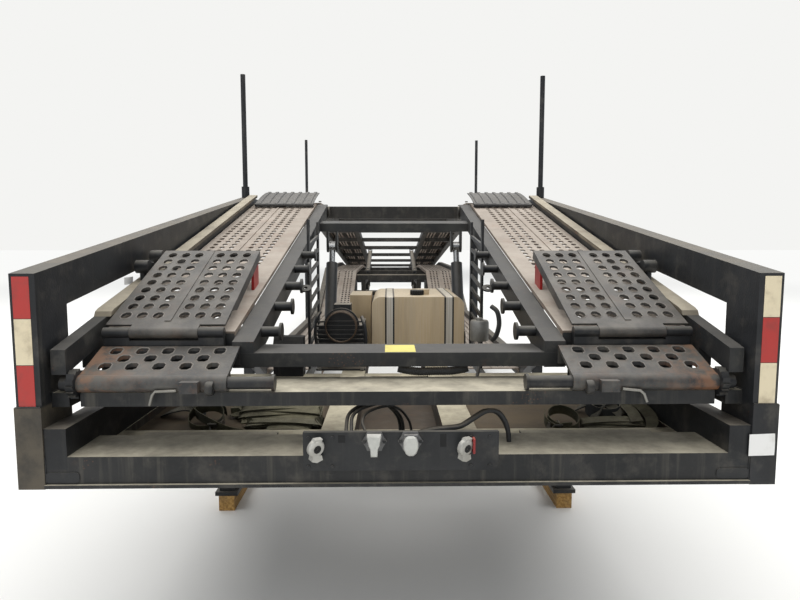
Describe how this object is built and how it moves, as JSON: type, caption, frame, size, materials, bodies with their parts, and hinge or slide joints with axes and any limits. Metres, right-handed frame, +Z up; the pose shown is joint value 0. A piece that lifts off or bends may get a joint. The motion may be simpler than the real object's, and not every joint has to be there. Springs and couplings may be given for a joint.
{
  "type": "car transporter semi-trailer",
  "caption": "Twin-deck car transporter semi-trailer on tandem twin-tyred axles and landing legs, with tilting perforated runways, folding flaps and a strapped tank.",
  "frame": {"origin": "on the ground under the middle of the trailer, halfway along its length and width", "axes": "+X to the right of a viewer who faces the trailer's front, +Y from the front to the tail, +Z up"},
  "size_m": [2.59, 16.114, 3.05],
  "materials": {
    "black_steel": "worn black paint with dust on what faces up",
    "box_alloy": "dull sheet",
    "bright_alloy": "cast alloy",
    "chassis_steel": "dusty black chassis paint",
    "chrome_rod": "hard chrome",
    "flap_steel": "worn dark grey paint, rubbed bare on the hole rims",
    "grey_cover": "grey moulded covers",
    "hinge_steel": "rusty dark steel",
    "lamp_red": "red lens",
    "lip_steel": "worn dark paint with rust",
    "red_steel": "red paint",
    "ribbed_rubber_steel": "black ribbed plate",
    "sheet_rubber": "matt black",
    "spring_steel": "rusty black",
    "strap_steel": "bright band",
    "strip_steel": "dusty beige strip",
    "tank_alloy": "dusty dull sheet with streaks",
    "timber": "rough sawn timber",
    "tread_steel": "bare and rusty perforated tread, dusty",
    "tyre_rubber": "dusty black rubber",
    "unit_steel": "oily black",
    "wheel_steel": "dull silver paint"
  },
  "bodies": {
    "root": {"air_couplings": "bright_alloy", "axles": "chassis_steel", "belt_guard": "black_steel", "connector_panel": "black_steel", "corner_posts": "black_steel", "coupler": "chassis_steel", "deck_pivots": "black_steel", "electric_sockets": "grey_cover", "front_beam": "black_steel", "front_sill": "black_steel", "guide_poles": "black_steel", "landing_legs": "chassis_steel", "leaf_springs": "spring_steel", "lift_feet": "black_steel", "lock_ladders": "black_steel", "lower_cross_members": "chassis_steel", "lower_runways": "tread_steel", "lower_side_rails": "black_steel", "mud_flaps": "sheet_rubber", "neck_frame": "chassis_steel", "platform_frame": "black_steel", "platform_runways": "tread_steel", "power_unit": "unit_steel", "side_box": "box_alloy", "side_posts": "black_steel", "subframe": "chassis_steel", "tail_beam": "black_steel", "tail_lamps": "lamp_red", "tank": "tank_alloy", "tank_straps": "strap_steel", "timber_blocks": "timber", "upper_side_rails": "black_steel"},
    "front_deck": {"front_deck_frame": "black_steel", "front_runways": "tread_steel", "outer_strips": "strip_steel", "lip_plates": "lip_steel", "flap_hinges": "hinge_steel", "flap_props": "red_steel", "tie_pegs": "black_steel", "tie_down_winches": "hinge_steel", "bridge_plates": "ribbed_rubber_steel"},
    "flap_left": {"flap_left": "flap_steel"},
    "flap_right": {"flap_right": "flap_steel"},
    "front_lift_barrels": {"front_lift_barrels": "black_steel"},
    "front_lift_rods": {"front_lift_rods": "chrome_rod"},
    "rear_deck": {"rear_deck_frame": "black_steel", "rear_runways": "tread_steel"},
    "rear_lift_barrels": {"rear_lift_barrels": "black_steel"},
    "rear_lift_rods": {"rear_lift_rods": "chrome_rod"},
    "wheel_1_left": {"tyres_1_left": "tyre_rubber", "wheel_1_left": "wheel_steel"},
    "wheel_1_right": {"tyres_1_right": "tyre_rubber", "wheel_1_right": "wheel_steel"},
    "wheel_2_left": {"tyres_2_left": "tyre_rubber", "wheel_2_left": "wheel_steel"},
    "wheel_2_right": {"tyres_2_right": "tyre_rubber", "wheel_2_right": "wheel_steel"}
  },
  "joints": [
    {"name": "front_deck_tilt", "type": "hinge", "parent": "root", "child": "front_deck", "pos_m": [0, -4.909, 1.805], "axis": [-1, 0, 0], "range_deg": [0, 18]},
    {"name": "flap_left_swing", "type": "hinge", "parent": "front_deck", "child": "flap_left", "pos_m": [-0.8895, -7.699, 1.212], "axis": [1, 0, 0], "range_deg": [0, 165]},
    {"name": "flap_right_swing", "type": "hinge", "parent": "front_deck", "child": "flap_right", "pos_m": [0.8895, -7.699, 1.212], "axis": [1, 0, 0], "range_deg": [0, 165]},
    {"name": "front_lift_swing", "type": "hinge", "parent": "root", "child": "front_lift_barrels", "pos_m": [0, -5.679, 0.88], "axis": [1, 0, 0], "range_deg": [0, 9.22]},
    {"name": "front_lift_reach", "type": "slide", "parent": "front_lift_barrels", "child": "front_lift_rods", "axis": [0, 0.3887, 0.9214], "range_m": [0, 0.1352]},
    {"name": "rear_deck_tilt", "type": "hinge", "parent": "root", "child": "rear_deck", "pos_m": [0, -0.034, 1.8], "axis": [1, 0, 0], "range_deg": [0, 8]},
    {"name": "rear_lift_swing", "type": "hinge", "parent": "root", "child": "rear_lift_barrels", "pos_m": [0, 1.081, 1.03], "axis": [1, 0, 0], "range_deg": [0, 12.22]},
    {"name": "rear_lift_reach", "type": "slide", "parent": "rear_lift_barrels", "child": "rear_lift_rods", "axis": [0, 0.976, 0.2179], "range_m": [0, 0.1501]},
    {"name": "wheel_1_left_roll", "type": "hinge", "parent": "root", "child": "wheel_1_left", "pos_m": [-1.023, 1.781, 0.464], "axis": [1, 0, 0], "continuous": true},
    {"name": "wheel_1_right_roll", "type": "hinge", "parent": "root", "child": "wheel_1_right", "pos_m": [1.023, 1.781, 0.464], "axis": [1, 0, 0], "continuous": true},
    {"name": "wheel_2_left_roll", "type": "hinge", "parent": "root", "child": "wheel_2_left", "pos_m": [-1.023, 3.081, 0.464], "axis": [1, 0, 0], "continuous": true},
    {"name": "wheel_2_right_roll", "type": "hinge", "parent": "root", "child": "wheel_2_right", "pos_m": [1.023, 3.081, 0.464], "axis": [1, 0, 0], "continuous": true}
  ],
  "couplings": [
    {"joint": "front_lift_swing", "follows": "front_deck_tilt", "ratio": 0.50123},
    {"joint": "front_lift_reach", "follows": "front_deck_tilt", "m_per_rad": 0.4271},
    {"joint": "rear_lift_swing", "follows": "rear_deck_tilt", "ratio": 1.5028},
    {"joint": "rear_lift_reach", "follows": "rear_deck_tilt", "m_per_rad": 1.068}
  ]
}
